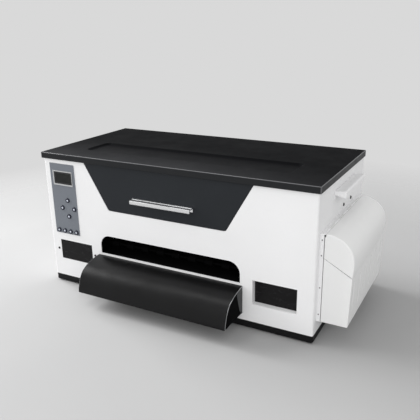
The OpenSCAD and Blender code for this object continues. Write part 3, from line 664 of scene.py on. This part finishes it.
CL = catmull([(11.7, 236.4), (19, 236.3), (27, 235), (34.5, 232.2), (46.4, 226.5), (57.3, 216.9), (64.4, 205.6),
              (68.2, 193.6), (69.4, 182.3), (69.5, 172.3), (68.8, 162.5), (67.6, 151)], 6)
CL = [p for p in CL if p[1] > zpart(p[0]) + 0.4]
CL.append((67.85, zpart(67.85)))
CK = [(9.6, zpart(9.6)), (9.6, 229), (11.7, 232)]


def T(u, y, z):
    return P(HW + u, y, z)


bm = bmesh.new()
RS = 5
ends = []
for ya, sg in ((TY0, 1), (TY1, -1)):
    rows = []
    for j in range(RS + 1):
        th = radians(90 * j / RS)
        off = offset_line(CL, TT * (1 - sin(th)))
        off[-1] = (off[-1][0], zpart(off[-1][0]))
        rows.append([bm.verts.new(T(u, ya + sg * TT * (1 - cos(th)), z)) for u, z in off])
    K0 = [bm.verts.new(T(u, ya, z)) for u, z in CK]
    K1 = [bm.verts.new(T(u, ya + sg * TT, z)) for u, z in CK]
    for a, b in zip(rows[:-1], rows[1:]):
        for i in range(len(CL) - 1):
            bm.faces.new((a[i], a[i + 1], b[i + 1], b[i]))
    bm.faces.new(rows[0] + K0)
    bm.faces.new([r[-1] for r in rows] + [K1[0], K0[0]])
    bm.faces.new([r[0] for r in rows] + [K1[-1], K0[-1]])
    for i in range(len(CK) - 1):
        bm.faces.new((K0[i], K0[i + 1], K1[i + 1], K1[i]))
    il = offset_line(CL, TT)
    il[-1] = (il[-1][0], zpart(il[-1][0]))
    inner = [bm.verts.new(T(u, ya + sg * TT, z)) for u, z in il]
    bm.faces.new(inner + [rows[-1][-1]] + K1 + [rows[-1][0]])
    ends.append((rows[-1], inner))
(oa, ia), (ob, ib) = ends
for A, C in ((oa, ob), (ia, ib)):
    for i in range(len(CL) - 1):
        bm.faces.new((A[i], A[i + 1], C[i + 1], C[i]))
for e in (0, -1):
    bm.faces.new((oa[e], ia[e], ib[e], ob[e]))
cover = obj_from("tank_cover_shell", bm, [M_TANK])
settle(cover, 30)
keep(cover, "tank_cover", "tank_white", "tank_cover")

bm = bmesh.new()
KN = (TY1 - TY0) / 9
for i in (1, 3, 5, 7):
    ya, yb = TY0 + i * KN + 0.2, TY0 + (i + 1) * KN - 0.2
    L = (yb - ya) / 1000
    lathe(bm, [(0.00096, 0), (0.0016, 0), (0.0018, 0.0002), (0.0018, L - 0.0002), (0.0016, L), (0.00096, L), (0.00096, 0)],
          P(HW + AXU, ya, AXZ), Vector((0, 1, 0)), 28)
    pts = [(AXU + 0.6, 234.5), (12.2, 234.5), (12.2, 236.0), (AXU + 1.6, 236.0)]
    loft(bm, [[(HW + u, ya, z) for u, z in pts], [(HW + u, yb, z) for u, z in pts]], [0], 0, 0)
# ribs on the inside of the cover
for i in range(5):
    y = TY0 + PITCH * (i + 1)
    rib = [p for p in offset_line(CL, TT - 0.2) if p[1] > 165 and p[0] > 16]
    rin = [p for p in offset_line(CL, TT + 2.4) if p[1] > 165 and p[0] > 16]
    pts = rib + rin[::-1]
    loft(bm, [[(HW + u, y - 0.8, z) for u, z in pts], [(HW + u, y + 0.8, z) for u, z in pts]], [0], 0, 0)
o = obj_from("tank_cover_lugs", bm, [M_TANK_IN])
settle(o, 30)
done(o, "tank_cover")

# ------------------------------------------------------------------ tank housing: shell with rounded level slots
HO = [(9.2, 44), (62.0, 44), (63.6, 44.4), (64.5, 45.4), (64.75, 46.8), (67.5, 152.3), (9.2, 184.6)]


def housing():
    """outer wall with slots cut out as real openings, in an outer and an inner layer; the end walls, floor and back
    are added after the call
    """
    bm = bmesh.new()
    # wall facing outwards: panels between slots, built in a strip from front to back
    z0, z1, zs0, zs1 = 46.8, 152.3, 71.6, 139.6
    slots = TANKS

    def u_at(z, inner):
        return 64.75 + (67.5 - 64.75) * (z - z0) / (z1 - z0) - (TT if inner else 0)

    def pt(y, z, inner):
        return T(u_at(z, inner), y, z)
    edges = []
    hs = 2.5
    for inner in (False, True):
        prev = TY0 + (TT if inner else 0)
        last = TY1 - (TT if inner else 0)
        segs = []
        cuts = [prev] + [v for y in slots for v in (y - hs - 4, y + hs + 4)] + [last]
        for i in range(0, len(cuts), 2):
            a, b = cuts[i], cuts[i + 1]
            q = [(a, z0), (b, z0)]
            if i + 2 < len(cuts):
                q += [(b, zs0 + hs), (b, zs1 - hs)]
            q += [(b, z1), (a, z1)]
            if i:
                q += [(a, zs1 - hs), (a, zs0 + hs)]
            bm.faces.new([bm.verts.new(pt(y, z, inner)) for y, z in q])
        for y in slots:
            arc_n = 8
            loop = []
            for k in range(arc_n + 1):
                a = pi + pi * k / arc_n
                loop.append((y + hs * cos(a), zs0 + hs + hs * sin(a)))
            for k in range(arc_n + 1):
                a = pi * k / arc_n
                loop.append((y + hs * cos(a), zs1 - hs + hs * sin(a)))
            outer = []
            for (yy, zz) in loop:
                dy = (yy - y) / hs
                oy = y + (hs + 4) * (1 if dy > 0.72 else -1 if dy < -0.72 else dy / 0.72)
                if zz < zs0 + hs + 1e-6:
                    oz = z0 if abs(dy) <= 0.999 else (zs0 + hs)
                    oz = z0 if zz < zs0 + hs - 0.3 else zs0 + hs
                else:
                    oz = z1 if zz > zs1 - hs + 0.3 else zs1 - hs
                outer.append((oy, oz))
            vi = [bm.verts.new(pt(a, b, inner)) for a, b in loop]
            vo = [bm.verts.new(pt(a, b, inner)) for a, b in outer]
            n = len(vi)
            for k in range(n):
                j = (k + 1) % n
                bm.faces.new((vo[k], vo[j], vi[j], vi[k]))
            edges.append((y, inner, vi))
    ring_o = [e[2] for e in edges if not e[1]]
    ring_i = [e[2] for e in edges if e[1]]
    for a, b in zip(ring_o, ring_i):
        n = len(a)
        for k in range(n):
            bm.faces.new((a[k], a[(k + 1) % n], b[(k + 1) % n], b[k]))
    return bm


bm = housing()
# the rest of the shell, outside and inside
outs = [(64.75, 46.8), (64.5, 45.4), (63.6, 44.4), (62.0, 44), (9.2, 44), (9.2, 184.6)]
ins = [(62.25, 46.8), (61.6, 46.5), (11.7, 46.5), (11.7, 183.2)]


def strip(a, b, ya, yb, yc, yd):
    bm.faces.new([bm.verts.new(T(a[0], ya, a[1])), bm.verts.new(T(b[0], yb, b[1])), bm.verts.new(T(b[0], yc, b[1])), bm.verts.new(T(a[0], yd, a[1]))])


for a, b in zip(outs[:-1], outs[1:]):
    strip(a, b, TY0, TY0, TY1, TY1)
for a, b in zip(ins[:-1], ins[1:]):
    strip(a, b, TY0 + TT, TY0 + TT, TY1 - TT, TY1 - TT)
strip((67.5, 152.3), (65.0, 152.3), TY0, TY0 + TT, TY1 - TT, TY1)
strip((9.2, 184.6), (11.7, 183.2), TY0, TY0 + TT, TY1 - TT, TY1)
ci = [(62.25, 46.8), (65.0, 152.3), (11.7, 183.2), (11.7, 46.5), (61.6, 46.5)]
for ya, yi in ((TY0, TY0 + TT), (TY1, TY1 - TT)):
    bm.faces.new([bm.verts.new(T(u, ya, z)) for u, z in HO])
    bm.faces.new([bm.verts.new(T(u, yi, z)) for u, z in ci])
    bm.faces.new([bm.verts.new(T(u, y, z)) for u, y, z in ((67.5, ya, 152.3), (65.0, yi, 152.3), (11.7, yi, 183.2), (9.2, ya, 184.6))])
bmesh.ops.remove_doubles(bm, verts=bm.verts, dist=2e-5)
house = obj_from("tank_shell", bm, [M_TANK])
b = bevel(house, 1.3, 3, 42)
settle(house, 30)
keep(house, "case", "tank_white", "tank_housing")

bm = bmesh.new()
for y in (65.3, 254.7):
    for z in (62, 165):
        tube_between(bm, T(8, y, z), T(9.25, y, z), 0.005, 24)
o = obj_from("tank_spacers", bm, [M_TANK_IN])
settle(o)
done(o, "case")
refine("tank_plate", [M_WHITE], 0.4, 2)
refine("ink_reservoirs", [M_CLEAR], 1.2, 3, 40)
refine("ink_manifold", [M_PLASTIC], 0.8, 2, 40)
built.update(("tank_plate", "ink_reservoirs", "ink_manifold"))

# ribbed grips on the reservoir caps
bm = bmesh.new()
for y in TANKS:
    c = T(35, y, 0)
    for k in range(24):
        a = 2 * pi * k / 24
        d = Vector((cos(a), sin(a), 0))
        tube_between(bm, c + d * 0.0107 + Vector((0, 0, 0.1472)), c + d * 0.0107 + Vector((0, 0, 0.1572)), 0.0007, 6)
    lathe(bm, [(0, 0.1578), (0.0080, 0.1578), (0.0086, 0.1582), (0.0100, 0.1582), (0.0104, 0.1578), (0.0104, 0.1565)], c, Vector((0, 0, 1)), 32)
o = obj_from("cap_grips", bm, [M_PLASTIC2])
settle(o, 35)
done(o, "case")

# ------------------------------------------------------------------ control panel
KEYS = {"key_up": (-281.2, 221.3), "key_left": (-299.6, 200.8), "key_right": (-262.8, 200.8), "key_down": (-281.2, 180.3),
        "row_key_1": (-318.0, 140.6), "row_key_2": (-299.6, 140.6), "row_key_3": (-281.2, 140.6), "row_key_4": (-262.8, 140.6)}
for kn, (kx, kz) in KEYS.items():
    bm = bmesh.new()
    dark = [(0, -7), (2, -7), (2, -1.9), (6.7, -1.9), (6.7, -0.4), (5.6, -0.4), (5.6, 3.0), (5.48, 3.5), (5.15, 3.86), (4.7, 3.99), (3.6, 3.96), (3.05, 3.7), (2.75, 3.25), (2.5, 3.2)]
    pale = [(2.5, 3.2), (2.45, 3.45), (2.1, 3.72), (1.3, 3.9), (0, 3.96)]
    c = P(kx, 0, kz)
    lathe(bm, [(r / 1000, h / 1000) for r, h in dark], c, Vector((0, -1, 0)), 48, 0)
    lathe(bm, [(r / 1000, h / 1000) for r, h in pale], c, Vector((0, -1, 0)), 48, 1)
    o = obj_from(kn + "_cap", bm, [M_KEY, M_KEYC])
    settle(o, 40)
    keep(o, kn, "key_dark", kn)
refine("control_plate", [M_PANEL], 0.3, 2)
refine("screen_bezel", [M_BEZEL], 0.35, 3)
refine("screen", [M_SCREEN], 0.3, 2)
refine("key_board", [M_BOARD], 0.0)
refine("left_window_pane", [M_PANE], 0.3, 2)
refine("right_window_recess", [M_WHITE], 0.5, 3)
refine("right_window_pane", [M_PANE], 0.2, 2)
built.update(("control_plate", "screen_bezel", "screen", "key_board", "left_window_pane", "right_window_recess", "right_window_pane"))

# the lit area of the screen: a thin darker border printed under the glass
bm = bmesh.new()
x0, x1, z0, z1 = -316.2, -262.8, 262.2, 290.9
b = 3.2
for a in ((x0, x1, z0, z0 + b), (x0, x1, z1 - b, z1), (x0, x0 + b, z0 + b, z1 - b), (x1 - b, x1, z0 + b, z1 - b)):
    blockmm(bm, a[0], a[1], -1.96, -1.7, a[2], a[3])
o = obj_from("screen_border", bm, [M_CHIP])
settle(o)
done(o, "case")


# ------------------------------------------------------------------ screws with a cross recess
def screw(bm, at, out, r=0.0029, h=0.0019, cross=True, turn=0.3, mat=0):
    out = out.normalized()
    s = out.orthogonal().normalized()
    t = out.cross(s)
    n, rings = 40, []
    prof = [(1.0, 0.0), (1.0, 0.35), (0.93, 0.62), (0.8, 0.82), (0.64, 0.93), (0.52, 0.98), (0.42, 1.0), (0.3, 1.0), (0.16, 1.0)]
    for pr, ph in prof:
        row = []
        for i in range(n):
            a = 2 * pi * i / n + turn
            hh = ph * h
            x, y = pr * cos(a - turn), pr * sin(a - turn)
            if cross and pr < 0.56 and (abs(x) < 0.13 or abs(y) < 0.13):
                hh -= 0.5 * h
            row.append(bm.verts.new(at + out * hh + r * pr * (cos(a) * s + sin(a) * t)))
        rings.append(row)
    for a, b in zip(rings[:-1], rings[1:]):
        for i in range(n):
            f = bm.faces.new((a[i], a[(i + 1) % n], b[(i + 1) % n], b[i]))
            f.material_index = mat
    c = bm.verts.new(at + out * (h * (0.45 if cross else 1.0)))
    for i in range(n):
        f = bm.faces.new((rings[-1][i], rings[-1][(i + 1) % n], c))
        f.material_index = mat


bm = bmesh.new()
for x, z in ((-326.8, 88.8), (-210.6, 88.8)):
    screw(bm, P(x, 0, z), Vector((0, -1, 0)), 0.0029, 0.0019, True, random.random())
for y, z in ((178.6, 248), (235.6, 248)):
    for m in (-1, 1):
        screw(bm, P(m * HW, y, z), Vector((m, 0, 0)), 0.0039, 0.0019, True, random.random())
o = obj_from("cover_screws", bm, [M_SCREW])
settle(o, 50)
keep(o, "case", "black_screw", "case_screws")

# rear side: panel, hinge and fan screws, all set into the faces they hold
bm = bmesh.new()
for x, z in ((-338, 40), (-338, 165), (-338, 300), (338, 40), (338, 165), (338, 300), (0, 308), (-180, 28), (180, 28)):
    screw(bm, P(x, 341, z), Vector((0, 1, 0)), 0.0029, 0.0017, True, random.random())
for sx in (-1, 1):
    for sz in (-1, 1):
        screw(bm, P(-270 + sx * 35.7, 341, 150 + sz * 35.7), Vector((0, 1, 0)), 0.0027, 0.0016, True, random.random())
for hx in (-250, 250):
    for dx, z in ((-20, 301), (20, 301), (0, 313)):
        screw(bm, P(hx + dx, 342.5, z), Vector((0, 1, 0)), 0.0026, 0.0013, True, random.random())
# small screws on the tank plate's front edge
for z in (223, 190, 120, 60):
    screw(bm, P(HW + 4.2, 18.0, z), Vector((0, -1, 0)), 0.0013, 0.0005, False, 0.0)
o = obj_from("rear_screws", bm, [M_SCREW])
settle(o, 50)
done(o, "case")

# blades of the mains inlet and the tongue of the data socket
bm = bmesh.new()
for x0, x1, z0, z1 in ((-117.2, -115.2, 74.5, 79), (-104.8, -102.8, 74.5, 79), (-111, -109, 80, 84.5)):
    blockmm(bm, x0, x1, 325.8, 337, z0, z1, 0)
blockmm(bm, -37.5, -30.5, 329.8, 339, 77.4, 78.6, 0)
o = obj_from("inlet_blades", bm, [M_NICKEL])
bevel(o, 0.3, 2)
settle(o)
done(o, "case")

# parts on the main board: fins, chips, sockets and two small cans
bm = bmesh.new()
for i in range(8):
    blockmm(bm, 20.6 + i * 5.0, 22.2 + i * 5.0, 235.4, 274.6, 25.8, 31.5, 0)
o = obj_from("sink_fins", bm, [M_CAPTOP])
bevel(o, 0.3, 1)
settle(o)
done(o, "case")
bm = bmesh.new()
for x, y, w, d in ((68, 292, 16, 16), (100, 300, 10, 14), (124, 296, 12, 8), (146, 300, 8, 12), (30, 292, 12, 9), (66, 240, 9, 9), (134, 232, 10, 7)):
    blockmm(bm, x, x + w, y, y + d, 11.4, 13.0, 0)
o = obj_from("board_chips", bm, [M_CHIP])
bevel(o, 0.25, 2)
settle(o)
done(o, "case")
bm = bmesh.new()
for i in range(4):
    blockmm(bm, 20 + i * 26, 40 + i * 26, 313, 320, 11.4, 18.5, 0)
o = obj_from("board_sockets", bm, [M_IVORY])
bevel(o, 0.5, 2)
settle(o)
done(o, "case")
bm = bmesh.new()
for x, y, r, h in ((152, 280, 4.0, 11), (164, 280, 4.0, 11), (158, 240, 5.0, 14)):
    lathe(bm, [(0, 0), (r / 1000, 0), (r / 1000, (h - 0.6) / 1000), ((r - 0.6) / 1000, h / 1000), (0, h / 1000)], P(x, y, 11.4), Vector((0, 0, 1)), 28)
o = obj_from("board_cans", bm, [M_CAPTOP])
settle(o, 40)
done(o, "case")

# ------------------------------------------------------------------ the other case parts, edges broken
LIST = [("base_tray", [M_BLACK], 0.7, 3), ("rubber_feet", [M_RUBBER], 0.6, 3), ("front_panel", [M_WHITE], 0.5, 3),
        ("left_side_panel", [M_WHITE], 0.4, 2), ("right_side_panel", [M_WHITE], 0.4, 2), ("rear_panel", [M_WHITE], 0.5, 2),
        ("mechanism_side_plates", [M_ZINC], 0.25, 2), 
        ("platen", [M_MATTE], 0.4, 2), ("guide_rod", [M_STEEL], 0.4, 2), ("rear_rail", [M_ZINC], 0.25, 2),
        ("drive_belt", [M_RUBBER], 0.15, 1), ("drive_motors", [M_BLACK], 0.6, 2), ("pinch_bracket", [M_MATTE], 0.5, 2),
        ("capping_unit", [M_PLASTIC2], 0.5, 2), ("spindle_brackets", [M_ZINC], 0.3, 2), ("power_supply", [M_ZINC], 0.3, 2),
        ("main_board", [M_BOARD], 0.15, 1), ("fan_frame", [M_PLASTIC], 0.6, 2), ("power_inlet", [M_PLASTIC], 0.5, 2),
        ("carry_handles", [M_WHITE], 0.9, 3), ("hinge_fixed_leaves", [M_STEEL], 0.25, 2), ("hinge_moving_leaves", [M_STEEL], 0.25, 2),
        ("print_carriage", [M_PLASTIC], 1.0, 3), ("print_head", [M_NICKEL], 0.3, 2), ("motor_pulley", [M_STEEL], 0.2, 1),
        ("idler_pulley", [M_ACETAL], 0.2, 1), ("feed_roller", [M_GRIT], 0.12, 1), ("feed_pinion", [M_ACETAL], 0.12, 1),
        ("pinch_rollers", [M_GREY_RUBBER], 0.5, 2), ("exit_roller", [M_MATTE], 0.4, 2), ("film_spindle", [M_PLASTIC2], 0.8, 2),
        ("fan_rotor", [M_PLASTIC2], 0.3, 2), ("power_switch", [M_PLASTIC], 0.5, 3)]
for node, ms, w, sg in LIST:
    refine(node, ms, w, sg)
    built.add(node)


def stay_side(c, nrm):
    x = (c.x - CX) * 1000
    return 1 if (x > GX1 - 1.15 or x < GX0 + 1.15) else 0


refine("guide_brackets", [M_MATTE, M_PLASTIC2], 0.3, 2, pick=stay_side)
# painted shade: the cross beam's front faces and upward faces, seen through the outlet, are matte black; its other
# faces are zinc
refine("cross_beam", [M_ZINC, M_MATTE], 0.25, 2, pick=lambda c, nrm: 1 if (c.y - FY) * 1000 < 61 or nrm.z > 0.5 else 0)
built.update(("guide_brackets", "cross_beam"))

#STAGE
# ------------------------------------------------------------------ floor and light
bm = bmesh.new()
R = 4.0
lathe(bm, [(0, 0), (0.5, 0), (1, 0), (2, 0), (R, 0)], Vector((0, 0, 0)), Vector((0, 0, 1)), 96)
floor = obj_from("floor", bm, [])
fm = Mat("floor_paper", 0.85, 0.0, 0.2)
fm.color(fm.mix(fm.remap(fm.noise(3, 3), 0.3, 0.7, 0, 1), (0.385, 0.385, 0.387, 1), (0.395, 0.395, 0.395, 1)))
fm.rough(fm.remap(fm.noise(300, 2), 0.3, 0.7, 0.82, 0.9))
geo = fm.n("ShaderNodeMapping")
fm.link(fm.tc.outputs["Object"], geo.inputs["Vector"])
ln = fm.n("ShaderNodeVectorMath", operation="LENGTH")
fm.link(geo.outputs["Vector"], ln.inputs[0])
fade = fm.remap(ln.outputs["Value"], 0.75, 1.5, 0.0, 1.0)
tr = fm.n("ShaderNodeBsdfTransparent")
mx = fm.n("ShaderNodeMixShader")
out = fm.nt.nodes["Material Output"]
fm.link(fade, mx.inputs[0])
fm.link(fm.b.outputs[0], mx.inputs[1])
fm.link(tr.outputs[0], mx.inputs[2])
fm.link(mx.outputs[0], out.inputs["Surface"])
floor.data.materials.append(fm.m)

world = bpy.data.worlds.new("studio")
scene.world = world
world.use_nodes = True
bg = world.node_tree.nodes["Background"]
bg.inputs["Color"].default_value = (lin(217), lin(217), lin(217), 1)
bg.inputs["Strength"].default_value = 1.0


def area(name, at, to, size, power, col=(1, 1, 1), size_y=None):
    d = bpy.data.lights.new(name, "AREA")
    d.energy = power
    d.color = col
    d.shape = "RECTANGLE" if size_y else "SQUARE"
    d.size = size
    if size_y:
        d.size_y = size_y
    o = bpy.data.objects.new(name, d)
    scene.collection.objects.link(o)
    v = Vector(to) - Vector(at)
    o.matrix_world = Matrix.Translation(Vector(at)) @ v.to_track_quat("-Z", "Y").to_matrix().to_4x4()
    return o


area("key_front", (-3.8, -0.7, 2.0), (0, 0, 0.15), 1.8, 105)
area("key_back", (-3.8, 0.5, 2.0), (0, 0, 0.15), 1.8, 200)
area("front_fill", (0.4, -3.4, 1.3), (0, 0, 0.15), 1.8, 22)
area("corner_fill", (2.4, -2.4, 1.6), (0, 0, 0.15), 1.4, 20)
area("strip", (-0.85, -0.4, 2.5), (0, -0.2, 0.1), 1.7, 8, size_y=0.28)
